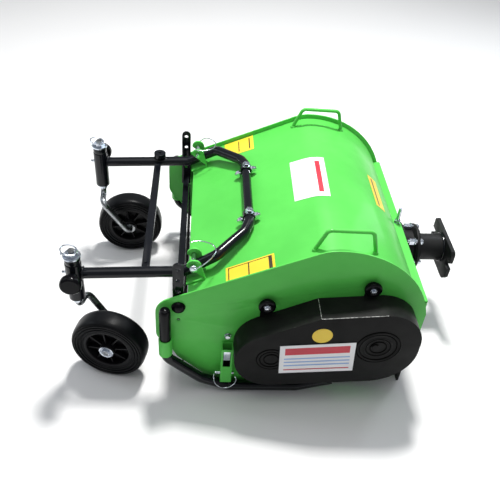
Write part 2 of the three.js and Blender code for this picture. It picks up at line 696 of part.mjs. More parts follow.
for (const [name, side] of BOTH_SIDES) {
  place(`side_plate_${name}`, sidePlate(side), green);
  place(`rotor_bearing_${name}`, rotorBearing(side), castBlack);
  place(`front_arm_${name}`, frontArm(side), black);
  place(`caster_tube_${name}`, casterTube(side), black);
  place(`lock_knob_${name}`, lockKnob(side), plastic);
  place(`clevis_${name}`, clevis(side), green);
  place(`clevis_pin_${name}`, clevisPin(side), zinc);
  place(`grab_handle_${name}`, grabHandle(side), green);
  place(`skid_socket_${name}`, skidSocket(side), green);
  place(`skid_channel_${name}`, skidChannel(side), green);
  place(`skid_${name}`, skid(side), black);
  place(`skid_pin_${name}`, skidPin(side), zinc);
}
addCaster('left', 1, LEFT_SWIVEL);
addCaster('right', -1, RIGHT_SWIVEL);

export default mower;
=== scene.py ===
import json
import math

import bmesh
import bpy
from mathutils import Matrix, Vector


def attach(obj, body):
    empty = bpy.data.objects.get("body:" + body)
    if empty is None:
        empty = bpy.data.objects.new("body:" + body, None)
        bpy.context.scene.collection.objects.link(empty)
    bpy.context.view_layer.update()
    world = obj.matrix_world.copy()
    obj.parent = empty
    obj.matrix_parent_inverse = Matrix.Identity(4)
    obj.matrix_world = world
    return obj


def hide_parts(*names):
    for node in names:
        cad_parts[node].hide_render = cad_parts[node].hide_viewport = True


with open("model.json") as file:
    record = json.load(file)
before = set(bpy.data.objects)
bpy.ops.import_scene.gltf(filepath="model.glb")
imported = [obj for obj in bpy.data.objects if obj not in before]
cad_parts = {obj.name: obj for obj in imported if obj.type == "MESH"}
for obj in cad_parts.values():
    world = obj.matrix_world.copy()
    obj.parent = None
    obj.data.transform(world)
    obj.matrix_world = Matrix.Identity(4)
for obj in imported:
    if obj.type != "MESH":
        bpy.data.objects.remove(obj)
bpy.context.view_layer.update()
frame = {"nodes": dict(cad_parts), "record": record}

NODES = frame["nodes"]
BODY_OF = {n: b for b, members in frame["record"]["behaviour"]["bodies"].items() for n in members}
SLOT_OF = {s["node"]: s["material_slot"] for s in frame["record"]["subparts"]}

# The machine's own frame, as in the CAD, in millimetres: x = 0 at the hood's front edge, y = 0 midway
# between the side plates, z = 0 on the ground. ORIGIN is that frame's origin in the scene.
ORIGIN = Vector((218, -19, 0))
MM = 1000
UP = Vector((0, 0, 1))
SIDES = (("left", 1), ("right", -1))


# ---- materials -----------------------------------------------------------------------------------
def node(tree, kind, **values):
    """A new shader node: each value sets the input of that name or, failing that, the property."""
    made = tree.nodes.new(kind)
    for key, value in values.items():
        if key in made.inputs:
            made.inputs[key].default_value = value
        else:
            setattr(made, key, value)
    return made


def noise(tree, coord, scale, detail=3.0, rough=0.55):
    """Cloudy noise, 0 to 1."""
    made = node(tree, "ShaderNodeTexNoise", Scale=scale, Detail=detail, Roughness=rough)
    tree.links.new(coord, made.inputs["Vector"])
    return made.outputs["Fac"]


def spread(tree, value, low, high, to_low, to_high):
    """Maps low..high onto to_low..to_high."""
    made = node(tree, "ShaderNodeMapRange")
    for name, number in (("From Min", low), ("From Max", high), ("To Min", to_low), ("To Max", to_high)):
        made.inputs[name].default_value = number
    tree.links.new(value, made.inputs["Value"])
    return made.outputs["Result"]


def mixed(tree, share, first, second):
    """A mix of two colours, each a triple or a node's output: the second where share is 1."""
    made = node(tree, "ShaderNodeMix", data_type="RGBA")
    tree.links.new(share, made.inputs["Factor"])
    for socket, value in (("A", first), ("B", second)):
        target = next(s for s in made.inputs if s.name == socket and s.type == "RGBA")
        if hasattr(value, "is_output"):
            tree.links.new(value, target)
        else:
            target.default_value = (*value, 1)
    return next(s for s in made.outputs if s.type == "RGBA")


def edge_mask(tree, coord, width, low, high):
    """1 along sharp edges, broken up by noise, and 0 elsewhere."""
    bevel = node(tree, "ShaderNodeBevel", Radius=width, samples=4)
    plain = node(tree, "ShaderNodeNewGeometry")
    dot = node(tree, "ShaderNodeVectorMath", operation="DOT_PRODUCT")
    tree.links.new(bevel.outputs["Normal"], dot.inputs[0])
    tree.links.new(plain.outputs["Normal"], dot.inputs[1])
    edge = spread(tree, dot.outputs["Value"], 0.995, 0.87, 0, 1)
    patchy = spread(tree, noise(tree, coord, 55, 4, 0.7), low, high, 0, 1)
    both = node(tree, "ShaderNodeMath", operation="MULTIPLY", use_clamp=True)
    tree.links.new(edge, both.inputs[0])
    tree.links.new(patchy, both.inputs[1])
    return both.outputs["Value"]


def finish(name, light, dark, rough=0.4, rough_spread=0.1, metal=0.0, coat=0.0, blotch=7.0, grain=380.0,
           depth=0.00006, wear=None, wear_width=0.0018, wear_from=0.45, dust=None, specular=0.5):
    """A coated or bare surface: cloudy colour, grain, uneven gloss, worn edges and settled dust."""
    made = bpy.data.materials.new(name)
    made.use_nodes = True
    tree = made.node_tree
    shader = tree.nodes["Principled BSDF"]
    coord = node(tree, "ShaderNodeTexCoord").outputs["Object"]
    colour = mixed(tree, spread(tree, noise(tree, coord, blotch), 0.35, 0.65, 0, 1), light, dark)
    if dust:
        tone, amount = dust
        up = node(tree, "ShaderNodeSeparateXYZ")
        tree.links.new(node(tree, "ShaderNodeNewGeometry").outputs["Normal"], up.inputs["Vector"])
        lying = spread(tree, up.outputs["Z"], 0.1, 1.0, 0, amount)
        soft = spread(tree, noise(tree, coord, 16, 6, 0.65), 0.42, 0.72, 0.15, 1)
        share = node(tree, "ShaderNodeMath", operation="MULTIPLY")
        tree.links.new(lying, share.inputs[0])
        tree.links.new(soft, share.inputs[1])
        colour = mixed(tree, share.outputs["Value"], colour, tone)
    if wear:
        mask = edge_mask(tree, coord, wear_width, wear_from, wear_from + 0.16)
        colour = mixed(tree, mask, colour, wear)
    tree.links.new(colour, shader.inputs["Base Color"])
    gloss = spread(tree, noise(tree, coord, 23, 5, 0.6), 0.3, 0.7, rough - rough_spread, rough + rough_spread)
    tree.links.new(gloss, shader.inputs["Roughness"])
    bump = node(tree, "ShaderNodeBump", Strength=0.6, Distance=depth)
    tree.links.new(noise(tree, coord, grain, 3, 0.6), bump.inputs["Height"])
    tree.links.new(bump.outputs["Normal"], shader.inputs["Normal"])
    shader.inputs["Metallic"].default_value = metal
    shader.inputs["Coat Weight"].default_value = coat
    shader.inputs["Coat Roughness"].default_value = 0.12
    shader.inputs["Specular IOR Level"].default_value = specular
    return made


MATERIALS = {
    "green_paint": finish(
        "green_gloss_paint", (0.1, 0.57, 0.085), (0.084, 0.51, 0.072), 0.5, 0.07, coat=0.2, depth=0.00012,
        grain=260, wear=(0.15, 0.68, 0.13), wear_from=0.55, specular=0.2),
    "black_paint": finish(
        "black_satin_paint", (0.0035, 0.0045, 0.0065), (0.006, 0.007, 0.01), 0.2, 0.06, coat=0.1,
        wear=(0.08, 0.08, 0.09), wear_from=0.68, specular=0.26),
    "cover_paint": finish(
        "black_cover_paint", (0.004, 0.0042, 0.0042), (0.008, 0.0082, 0.008), 0.46, 0.08,
        wear=(0.12, 0.12, 0.11), wear_width=0.0016, wear_from=0.6, dust=((0.03, 0.034, 0.028), 0.35),
        specular=0.1),
    # near-white and patchy: paints the highlight on the cover's sharp edges, with some wear
    "edge_wear_and_highlight": finish(
        "edge_wear_and_painted_highlight", (0.85, 0.85, 0.82), (0.02, 0.02, 0.02), 0.5, 0.1, blotch=330),
    "cast_black": finish(
        "black_cast_paint", (0.007, 0.007, 0.008), (0.014, 0.014, 0.015), 0.48, 0.1, depth=0.0005, grain=190,
        wear=(0.1, 0.095, 0.09), wear_from=0.58, dust=((0.06, 0.06, 0.055), 0.15), specular=0.2),
    "zinc_plate": finish(
        "bright_zinc", (0.78, 0.82, 0.88), (0.5, 0.55, 0.63), 0.2, 0.09, metal=1.0, blotch=75),
    "crank_steel": finish(
        "zinc_on_bent_bar", (0.42, 0.44, 0.45), (0.2, 0.21, 0.22), 0.3, 0.1, metal=1.0, blotch=38,
        depth=0.0002),
    "bare_steel": finish(
        "worn_steel", (0.36, 0.35, 0.34), (0.2, 0.19, 0.18), 0.42, 0.12, metal=1.0, blotch=30),
    "black_rubber": finish(
        "black_rubber", (0.009, 0.009, 0.01), (0.016, 0.016, 0.016), 0.68, 0.08, depth=0.0003, grain=500,
        dust=((0.06, 0.06, 0.055), 0.2), specular=0.15),
    "tyre": finish(
        "tyre_rubber", (0.002, 0.0025, 0.003), (0.004, 0.0045, 0.0055), 0.36, 0.08, blotch=12, depth=0.0002,
        grain=420, dust=((0.03, 0.033, 0.037), 0.12), specular=0.14),
    "black_plastic": finish(
        "black_moulded_plastic", (0.004, 0.004, 0.005), (0.008, 0.008, 0.009), 0.36, 0.07, depth=0.0001,
        grain=700, specular=0.2),
    "vinyl": finish(
        "black_vinyl", (0.002, 0.002, 0.003), (0.003, 0.003, 0.004), 0.13, 0.04, specular=0.12),
    "floor": finish(
        "pale_floor", (0.86, 0.86, 0.86), (0.84, 0.84, 0.84), 0.85, 0.05, blotch=0.8, depth=0.00002),
    # near-black: painted shade in the cover's pressed ring grooves
    "painted_ring_shade": finish(
        "painted_pressed_ring_shade", (0.0012, 0.0014, 0.0012), (0.002, 0.0022, 0.002), 0.7, 0.08, specular=0.05),
    "white_label": finish("white_vinyl_label", (0.82, 0.82, 0.83), (0.77, 0.77, 0.79), 0.4, 0.06),
    "red_label": finish("red_label_band", (0.62, 0.03, 0.06), (0.5, 0.02, 0.04), 0.4, 0.06),
    "blue_label": finish("blue_label_band", (0.3, 0.45, 0.75), (0.24, 0.38, 0.68), 0.4, 0.06),
    "yellow_label": finish("yellow_vinyl_label", (0.85, 0.62, 0.05), (0.78, 0.54, 0.03), 0.4, 0.06),
    "dark_label": finish("dark_label_band", (0.03, 0.022, 0.01), (0.045, 0.035, 0.015), 0.45, 0.06),
}


# ---- meshes --------------------------------------------------------------------------------------
def piece(name, made, look, body, smooth=34, replaces=()):
    """Turns a bmesh into an object that rides on a CAD body."""
    bmesh.ops.recalc_face_normals(made, faces=made.faces)
    mesh = bpy.data.meshes.new(name)
    made.to_mesh(mesh)
    made.free()
    mesh.materials.append(MATERIALS[look])
    mesh.shade_smooth()
    mesh.set_sharp_from_angle(angle=math.radians(smooth))
    thing = bpy.data.objects.new(name, mesh)
    bpy.context.scene.collection.objects.link(thing)
    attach(thing, body)
    if replaces:
        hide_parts(*replaces)
    return thing


def eased(name, width, segments=2, look=None, corner=34):
    """The CAD node's own shape with its sharp edges rounded off."""
    made = bmesh.new()
    made.from_mesh(NODES[name].data)
    bmesh.ops.remove_doubles(made, verts=made.verts, dist=2e-5)
    bmesh.ops.dissolve_limit(made, angle_limit=math.radians(0.7), verts=made.verts, edges=made.edges)
    sharp = [e for e in made.edges if e.is_manifold and e.calc_face_angle() > math.radians(corner)]
    bmesh.ops.bevel(made, geom=sharp, offset=width / MM, segments=segments, profile=0.6, affect="EDGES",
                    clamp_overlap=True)
    slot = SLOT_OF[name]
    return piece(name + "_eased", made, look or slot, BODY_OF[name], replaces=(name,))


def full_turn(count):
    """The angles that part a full circle evenly."""
    return [2 * math.pi * k / count for k in range(count)]


def both_sides(profile):
    """A turned profile, the same on both sides of its middle, from one side's [radius, distance]."""
    return [(r, -t) for r, t in profile] + [(r, t) for r, t in reversed(profile)]


def frame_about(direction):
    """Two unit vectors across a direction."""
    direction = Vector(direction).normalized()
    helper = Vector((0, 0, 1)) if abs(direction.z) < 0.9 else Vector((1, 0, 0))
    across = direction.cross(helper).normalized()
    return across, direction.cross(across).normalized()


def turned(made, start, direction, profile, steps):
    """Adds a turned shape: profile is [radius, distance along direction], in millimetres, from start."""
    direction = Vector(direction).normalized()
    u, v = frame_about(direction)
    start = Vector(start)
    rings = []
    for radius, along in profile:
        if radius < 1e-6:
            rings.append([made.verts.new(start + direction * along)])
            continue
        rings.append([made.verts.new(start + direction * along + (u * math.cos(a) + v * math.sin(a)) * radius)
                      for a in full_turn(steps)])
    pairs = list(zip(rings, rings[1:]))
    if profile[0][0] > 1e-6 and profile[-1][0] > 1e-6:
        pairs.append((rings[-1], rings[0]))
    for low, high in pairs:
        for i in range(steps):
            j = (i + 1) % steps
            around = (low[i % len(low)], low[j % len(low)], high[j % len(high)], high[i % len(high)])
            corners = list(dict.fromkeys(around))
            if len(corners) > 2:
                made.faces.new(corners)
    return made


def placed(made, matrix=None):
    """Moves a shape drawn in millimetres in the machine's frame to its place in the scene."""
    for vert in made.verts:
        local = matrix @ vert.co if matrix else vert.co
        vert.co = (local + ORIGIN) / MM
    return made


def route_points(corners, bend, step=0.12):
    """A route of straight runs joined by round bends, as (point, direction) pairs."""
    corners = [Vector(c) for c in corners]
    ways = [(b - a).normalized() for a, b in zip(corners, corners[1:])]
    found = [(corners[0], ways[0])]
    for corner, before, after in zip(corners[1:], ways, ways[1:]):
        angle = before.angle(after)
        inward = (after - before).normalized()
        centre = corner + inward * (bend / math.cos(angle / 2))
        arm = corner - before * (bend * math.tan(angle / 2)) - centre
        axis = before.cross(after).normalized()
        steps = max(3, math.ceil(angle / step))
        for i in range(steps + 1):
            turn = Matrix.Rotation(angle * i / steps, 3, axis)
            found.append((turn @ arm + centre, turn @ before))
    found.append((corners[-1], ways[-1]))
    return found


def swept(made, points, radius, steps, closed=False, round_ends=0.0):
    """Adds a round bar along (point, direction) pairs, in millimetres; round_ends chamfers its ends."""
    across = frame_about(points[0][1])[0]
    rings = []
    for point, way in points:
        across = (across - way * across.dot(way)).normalized()
        rings.append((point, across, way.cross(across), radius))
    if round_ends:
        first, last = rings[0], rings[-1]
        rings[0] = (first[0] + points[0][1] * round_ends, *first[1:])
        rings[-1] = (last[0] - points[-1][1] * round_ends, *last[1:])
        small = radius - round_ends
        rings = [(*first[:3], small), *rings, (*last[:3], small)]
    loops = [[made.verts.new(point + (u * math.cos(a) + v * math.sin(a)) * r) for a in full_turn(steps)]
             for point, u, v, r in rings]
    pairs = list(zip(loops, loops[1:])) + ([(loops[-1], loops[0])] if closed else [])
    for low, high in pairs:
        for i in range(steps):
            j = (i + 1) % steps
            made.faces.new((low[i], low[j], high[j], high[i]))
    if not closed:
        made.faces.new(loops[0][::-1])
        made.faces.new(loops[-1])
    return made


def rod(made, start, end, radius, steps, round_ends=0.0):
    """Adds a straight round bar."""
    start, end = Vector(start), Vector(end)
    way = (end - start).normalized()
    return swept(made, [(start, way), (end, way)], radius, steps, round_ends=round_ends)


def wire_points(points, closed=False, per=8):
    """A smooth line through points, as (point, direction) pairs."""
    points = [Vector(p) for p in points]
    count = len(points)
    found = []
    for i in range(count if closed else count - 1):
        index = (i - 1, i, i + 1, i + 2)
        p0, p1, p2, p3 = (points[k % count] if closed else points[min(max(k, 0), count - 1)] for k in index)
        for s in range(per):
            t = s / per
            a = 2 * p1 + (p2 - p0) * t + (2 * p0 - 5 * p1 + 4 * p2 - p3) * t * t
            found.append((a + (3 * p1 - p0 - 3 * p2 + p3) * t ** 3) / 2)
    if not closed:
        found.append(points[-1])
    last = len(found) - 1
    ways = []
    for i in range(len(found)):
        before = found[i - 1] if (i or closed) else found[0]
        after = found[(i + 1) % len(found)] if (i < last or closed) else found[last]
        ways.append((after - before).normalized())
    return list(zip(found, ways))


def hexagon(made, start, direction, flats, height, chamfer=1.2):
    """Adds a hexagon head or nut, with the corners of its outer face turned off."""
    direction = Vector(direction).normalized()
    u, v = frame_about(direction)
    start = Vector(start)
    corner = flats / math.sqrt(3)
    turn = [math.radians(60 * k + 30) for k in range(6)]
    loops = []
    for radius, along in ((corner, 0), (corner, height - chamfer), (flats / 2 - 0.4, height)):
        loops.append([made.verts.new(start + direction * along + (u * math.cos(a) + v * math.sin(a)) * radius)
                      for a in turn])
    for low, high in zip(loops, loops[1:]):
        for i in range(6):
            j = (i + 1) % 6
            made.faces.new((low[i], low[j], high[j], high[i]))
    made.faces.new(loops[0][::-1])
    made.faces.new(loops[-1])
    return made


def bolt(made, start, direction, flats, height, washer):
    """Adds a bolt's hexagon head on a washer of the given diameter."""
    direction = Vector(direction).normalized()
    start = Vector(start)
    r, thick = washer / 2, 2
    rim = [(0, 0), (r - 0.3, 0), (r, 0.4), (r, 1.6), (r - 0.3, thick), (0, thick)]
    turned(made, start, direction, rim, 28)
    return hexagon(made, start + direction * thick, direction, flats, height)


# ---- the hood's surface, for what is stuck on it -------------------------------------------------
SLOPE = math.radians(24.2)
HOOD_FRONT_Z, SLOPE_RUN = 332, 300
CROWN_X, CROWN_R, REAR_R = -347.2, 115.0, 250.0
# how far the side plates stand proud of the hood
RIM = 12.0
CROWN_Z = HOOD_FRONT_Z + SLOPE_RUN * math.tan(SLOPE) - CROWN_R * math.cos(SLOPE)
REAR_Z = CROWN_Z + CROWN_R - REAR_R


def hood_z(x):
    """How high the hood's outside is: a straight slope, the crown's arc, then the wider rear arc."""
    if x < CROWN_X:
        return REAR_Z + math.sqrt((REAR_R - RIM) ** 2 - (x - CROWN_X) ** 2)
    r = CROWN_R - RIM
    if x < CROWN_X + r * math.sin(SLOPE):
        return CROWN_Z + math.sqrt(r * r - (x - CROWN_X) ** 2)
    return HOOD_FRONT_Z - RIM / math.cos(SLOPE) - x * math.tan(SLOPE)


def on_hood(x, y, lift):
    """The point over (x, y) that stands off the hood's surface by lift."""
    slope = hood_z(x + 0.5) - hood_z(x - 0.5)
    away = Vector((-slope, 0, 1)).normalized()
    return Vector((x, y, hood_z(x))) + away * lift


def hood_surface(spot, height):
    """Maps a sticker's (x, y) onto the hood."""
    return on_hood(spot.x, spot.y, height)


# the belt cover's flat outer face
COVER_Y = 379.0


def cover_surface(spot, height):
    """Maps a sticker's (x, z), given as its first two coordinates, onto the belt cover's face."""
    return Vector((spot.x, COVER_Y + height, spot.y))


def patch(surface, corners, lift, inset, thick, columns=24, rows=8):
    """A thin sticker over a four-cornered area: inset takes a part of it, as shares of each side."""
    made = bmesh.new()
    a, b, c, d = (Vector(p) for p in corners)
    u0, u1, v0, v1 = inset
    layers = []
    for height in (lift, lift + thick):
        grid = []
        for j in range(rows + 1):
            v = v0 + (v1 - v0) * j / rows
            line = []
            for i in range(columns + 1):
                u = u0 + (u1 - u0) * i / columns
                spot = a * (1 - u) * (1 - v) + b * u * (1 - v) + c * u * v + d * (1 - u) * v
                line.append(made.verts.new(surface(spot, height)))
            grid.append(line)
        layers.append(grid)
    for grid in layers:
        for j in range(rows):
            for i in range(columns):
                made.faces.new((grid[j][i], grid[j][i + 1], grid[j + 1][i + 1], grid[j + 1][i]))
    low, high = layers
    rims = [(low[0], high[0]), (low[-1], high[-1])]
    for end in (0, -1):
        rims.append(([row[end] for row in low], [row[end] for row in high]))
    for under, over in rims:
        for i in range(len(under) - 1):
            made.faces.new((under[i], under[i + 1], over[i + 1], over[i]))
    return placed(made)


# ---- sheet metal, castings and guards: the CAD's shapes with eased edges -------------------------
eased("hood_shell", 0.7)
eased("rear_panel", 0.7)
eased("belt_cover", 1.6, 3, "cover_paint")
eased("front_guard", 0.7)
eased("coupling_flange", 1.6, 3)
eased("coupling_housing", 1.4, 3)
eased("gearbox_housing", 2.5, 3)
eased("brace_bar", 1.2)
eased("brace_boss", 1.5, 3, "black_paint")
for half, side in SIDES:
    eased("side_plate_" + half, 0.9)
    eased("clevis_" + half, 0.8)
    eased("skid_socket_" + half, 0.8)
    eased("skid_channel_" + half, 0.7)
    eased("rotor_bearing_" + half, 1.5, 3)

FLAILS = [f"flail_{i}" for i in range(1, 7)]
for name in ("rotor", "rotor_pulley", "drive_pulley", "cross_shaft", "input_shaft", "drive_belt",
             "front_flap", "rear_flap", "skid_pin_left", "skid_pin_right", "clevis_pin_left",
             "clevis_pin_right", *FLAILS):
    eased(name, 0.5)


# ---- front frame ---------------------------------------------------------------------------------
CASTER_X, CASTER_Y = 268, 241
LOCK_KNOB_Z = 334
CROSS_X, CROSS_Z, CROSS_HALF = -152, 409, 100
ARM_R, ARM_BEND = 13.8, 30
ARM = [(250.5, CASTER_Y, 328), (8, CASTER_Y, 341.5), (-72, 232, 388), (-140, 160, 405),
       (CROSS_X, 128, CROSS_Z), (CROSS_X, CROSS_HALF + 1, CROSS_Z)]
CASTER_TUBE = [(9.6, 250), (19.4, 250), (19.9, 250.6), (19.9, 361.4), (19.4, 362), (9.6, 362)]
WELD_X, WELD_Z, WELD_R = 248, 328.5, 15.3
NIPPLE = [(0, 0), (4.4, 0), (4.4, 4), (2.6, 4.6), (2.6, 6), (3.6, 7.5), (3.2, 10.4), (0, 10.8)]
LOCK_KNOB = [(4, 0), (18, 0), (22, 1.5), (25, 4), (26, 8), (26, 17), (24.5, 21), (21.5, 23.4), (0, 23.9)]


def side_route(side, corners):
    """The left side's corners, mirrored for the right."""
    return [(x, side * y, z) for x, y, z in corners]


def frame_arm(half, side):
    tube = swept(bmesh.new(), route_points(side_route(side, ARM), ARM_BEND), ARM_R, 32, round_ends=0.6)
    piece("frame_arm_" + half, placed(tube), "black_paint", "mower_body", replaces=("front_arm_" + half,))


def caster_tube(half, side):
    """The upright tube, the weld bead round the arm's end and the boss of the lock screw."""
    tube = turned(bmesh.new(), (CASTER_X, side * CASTER_Y, 0), UP, CASTER_TUBE, 48)
    y = side * CASTER_Y
    bead = [(WELD_X - 1.5 * math.cos(a), y + WELD_R * math.sin(a), WELD_Z + WELD_R * math.cos(a))
            for a in full_turn(16)]
    swept(tube, wire_points(bead, True, 3), 2.2, 10, closed=True)
    boss = [(5.5, 0), (11, 0), (11, 16.4), (10.4, 17), (5.5, 17)]
    turned(tube, (CASTER_X, side * (CASTER_Y + 17), LOCK_KNOB_Z), (0, side, 0), boss, 32)
    piece("caster_tube_round_" + half, placed(tube), "black_paint", "mower_body",
          replaces=("caster_tube_" + half,))


def grease_nipple(half, side):
    nipple = turned(bmesh.new(), (CASTER_X + 18, side * CASTER_Y, 331), (1, 0, 0), NIPPLE, 20)
    piece("grease_nipple_" + half, placed(nipple), "zinc_plate", "mower_body")


def lock_knob(half, side):
    """The round grip of a caster's lock screw, and the screw between it and the tube."""
    outward = (0, side, 0)
    knob = turned(bmesh.new(), (CASTER_X, side * (CASTER_Y + 35), LOCK_KNOB_Z), outward, LOCK_KNOB, 56)
    piece("lock_knob_grip_" + half, placed(knob), "vinyl", "lock_knob_" + half,
          replaces=("lock_knob_" + half,))
    shank = [(0, 0), (4.4, 0), (5, 0.6), (5, 26), (0, 26)]
    screw = turned(bmesh.new(), (CASTER_X, side * (CASTER_Y + 9.7), LOCK_KNOB_Z), outward, shank, 24)
    piece("lock_screw_" + half, placed(screw), "zinc_plate", "lock_knob_" + half)


for half, side in SIDES:
    frame_arm(half, side)
tube = rod(bmesh.new(), (CROSS_X, -CROSS_HALF, CROSS_Z), (CROSS_X, CROSS_HALF, CROSS_Z), 12.4, 32, 0.6)
piece("frame_cross_bar", placed(tube), "black_paint", "mower_body", replaces=("frame_cross_tube",))
for half, side in SIDES:
    caster_tube(half, side)
    grease_nipple(half, side)
    lock_knob(half, side)


# ---- grab handles --------------------------------------------------------------------------------
HANDLE_Y, FRONT_FOOT_X, REAR_FOOT_X = 276, -295, -437
HANDLE = [(FRONT_FOOT_X, HANDLE_Y, hood_z(FRONT_FOOT_X) + 3.4), (-318, HANDLE_Y, 509.7),
          (-423, HANDLE_Y, 507.7), (REAR_FOOT_X, HANDLE_Y, 450.6)]
HANDLE_FOOT = [(0, 0), (8.2, 0), (7.6, 1.6), (5.2, 4.2), (0, 4.4)]
for half, side in SIDES:
    grab = swept(bmesh.new(), route_points(side_route(side, HANDLE), 14), 4.9, 20)
    for x in (FRONT_FOOT_X, REAR_FOOT_X):
        foot = on_hood(x, side * HANDLE_Y, 0.4)
        away = on_hood(x, side * HANDLE_Y, 1) - on_hood(x, side * HANDLE_Y, 0)
        turned(grab, foot, away, HANDLE_FOOT, 20)
    piece("grab_bar_" + half, placed(grab), "green_paint", "mower_body", replaces=("grab_handle_" + half,))


# ---- skids ---------------------------------------------------------------------------------------
SKID_X, SKID_Y, RUNNER_Z = 48, 328, 13.5
RUNNER = [(SKID_X, SKID_Y, 190), (SKID_X, SKID_Y, 127.5), (-40, SKID_Y, 45), (-112, SKID_Y, RUNNER_Z),
          (-295, SKID_Y, RUNNER_Z), (-388, SKID_Y, 43)]
GRIP = [(0, 188), (13.3, 188), (13.9, 197), (14.1, 200), (14.1, 285), (13.4, 291.5), (10.6, 296.8),
        (5.4, 299.4), (0, 299.9)]
POST_X, POST_SPAN = -106, (22, 146)
POST_SECTION = [(-11, 317), (11, 317), (11, 334.5), (8, 334.5), (8, 320), (-8, 320), (-8, 334.5),
                (-11, 334.5)]
SLIDE_BLOCK_SIZE, SLIDE_BLOCK_Y, SLIDE_BLOCK_Z = (18.4, 3.4, 40), 332.9, 142
SKID_LOOP = [(-79, 326, 64.5), (-75.5, 334, 66.5), (-75, 342, 60), (-79, 344, 42), (-90, 345, 28),
             (-104, 345.5, 23.5), (-118, 345, 28), (-130, 344, 42), (-133, 342.5, 58), (-129, 340.8, 66)]


def skid_tube(half, side):
    """The bent runner with the vinyl grip over its upper end."""
    body = "skid_" + half
    runner = swept(bmesh.new(), route_points(side_route(side, RUNNER), 40), 13.2, 28, round_ends=0.8)
    piece("skid_runner_" + half, placed(runner), "black_paint", body, replaces=("skid_" + half,))
    grip = turned(bmesh.new(), (SKID_X, side * SKID_Y, 0), UP, GRIP, 40)
    piece("skid_grip_" + half, placed(grip), "vinyl", body)


def skid_post(half, side):
    """The folded post that slides in the side plate's channel, and the block in its open side."""
    body = "skid_" + half
    post = bmesh.new()
    low, high = ([post.verts.new((POST_X + x, side * y, z)) for x, y in POST_SECTION] for z in POST_SPAN)
    for i in range(len(POST_SECTION)):
        j = (i + 1) % len(POST_SECTION)
        post.faces.new((low[i], low[j], high[j], high[i]))
    post.faces.new(low[::-1])
    post.faces.new(high)
    piece("skid_post_" + half, placed(post), "black_paint", body, smooth=30)
    block = bmesh.new()
    corners = bmesh.ops.create_cube(block, size=1)["verts"]
    bmesh.ops.scale(block, vec=SLIDE_BLOCK_SIZE, verts=corners)
    bmesh.ops.translate(block, vec=(POST_X, side * SLIDE_BLOCK_Y, SLIDE_BLOCK_Z), verts=corners)
    bmesh.ops.bevel(block, geom=block.edges[:], offset=1.2, segments=3, profile=0.5, affect="EDGES")
    piece("skid_slide_block_" + half, placed(block), "zinc_plate", body)


def skid_pin_loop(half, side):
    loop = swept(bmesh.new(), wire_points(side_route(side, SKID_LOOP)), 1.3, 10)
    hexagon(loop, (-78.4, side * 326, 64.2), (-1, 0, 0), 7.6, 2, 0.4)
    piece("skid_pin_loop_" + half, placed(loop), "zinc_plate", "skid_pin_" + half)


for half, side in SIDES:
    skid_tube(half, side)
    skid_post(half, side)
    skid_pin_loop(half, side)


# ---- clevis pins, frame joints and bolts ---------------------------------------------------------
CLEVIS_X, CLEVIS_Z = -17, 380
CLEVIS_LOOP = [(CLEVIS_X, 277, CLEVIS_Z), (-24, 281, 388), (-40, 279, 399), (-58, 262, 404.4),
               (-69, 238, 406), (-62, 215, 405.2), (-42, 203, 404.4), (-25, 201, 404.2),
               (-10, 206, 403.8)]
PIN_HEAD = [(0, 0), (8.2, 0), (9.2, 1), (9.2, 2.6), (5, 4.6), (0, 5)]
JOINT_COLLAR = [(12.5, 0), (15.4, 0), (16.2, 0.8), (16.2, 20), (15.4, 21), (14, 21)]
CAP_NUT = [(0, 0), (17, 0), (17.2, 1.2), (16.4, 4), (13.6, 8.2), (9, 11), (4, 12.3), (0, 12.6)]
# just outside a side plate's face
PLATE_FACE_Y = 310.2


def clevis_pin_loop(half, side):
    """A clevis pin's turned head with its wire loop."""
    loop = swept(bmesh.new(), wire_points(side_route(side, CLEVIS_LOOP)), 1.4, 10)
    turned(loop, (CLEVIS_X, side * 274.6, CLEVIS_Z), (0, side, 0), PIN_HEAD, 28)
    piece("clevis_pin_loop_" + half, placed(loop), "zinc_plate", "clevis_pin_" + half)


def frame_joint(half, side):
    """The bolts where an arm meets the cross tube, one upright and one along the slope, and a collar."""
    joint = bmesh.new()
    along = Vector((-math.cos(SLOPE), 0, math.sin(SLOPE)))
    middle = Vector((CROSS_X, side * 104, CROSS_Z - 4))
    bolt(joint, middle + UP * 18, UP, 17, 8, 22)
    rod(joint, middle - along * 31, middle + along * 31, 4, 16)
    for way in (along, -along):
        bolt(joint, middle + way * 17.5, way, 15, 7.5, 19)
    rod(joint, middle + UP * 12, middle + UP * 30, 4.6, 16, 0.8)
    piece("frame_joint_bolts_" + half, placed(joint), "zinc_plate", "mower_body")
    collar = turned(bmesh.new(), (CROSS_X, side * 94, CROSS_Z), (0, side, 0), JOINT_COLLAR, 36)
    piece("frame_joint_collar_" + half, placed(collar), "black_paint", "mower_body")


def plate_fasteners(half, side):
    """What is screwed to the outside of a side plate: the guard's domed nut and the channel's bolt."""
    outward = (0, side, 0)
    guard_nut = turned(bmesh.new(), (16.8, side * PLATE_FACE_Y, 289), outward, CAP_NUT, 40)
    piece("guard_cap_nut_" + half, placed(guard_nut), "vinyl", "mower_body")
    head = bolt(bmesh.new(), (POST_X, side * PLATE_FACE_Y, 190), outward, 13, 6, 18)
    piece("channel_bolts_" + half, placed(head), "zinc_plate", "mower_body")


for half, side in SIDES:
    clevis_pin_loop(half, side)
    frame_joint(half, side)
    plate_fasteners(half, side)


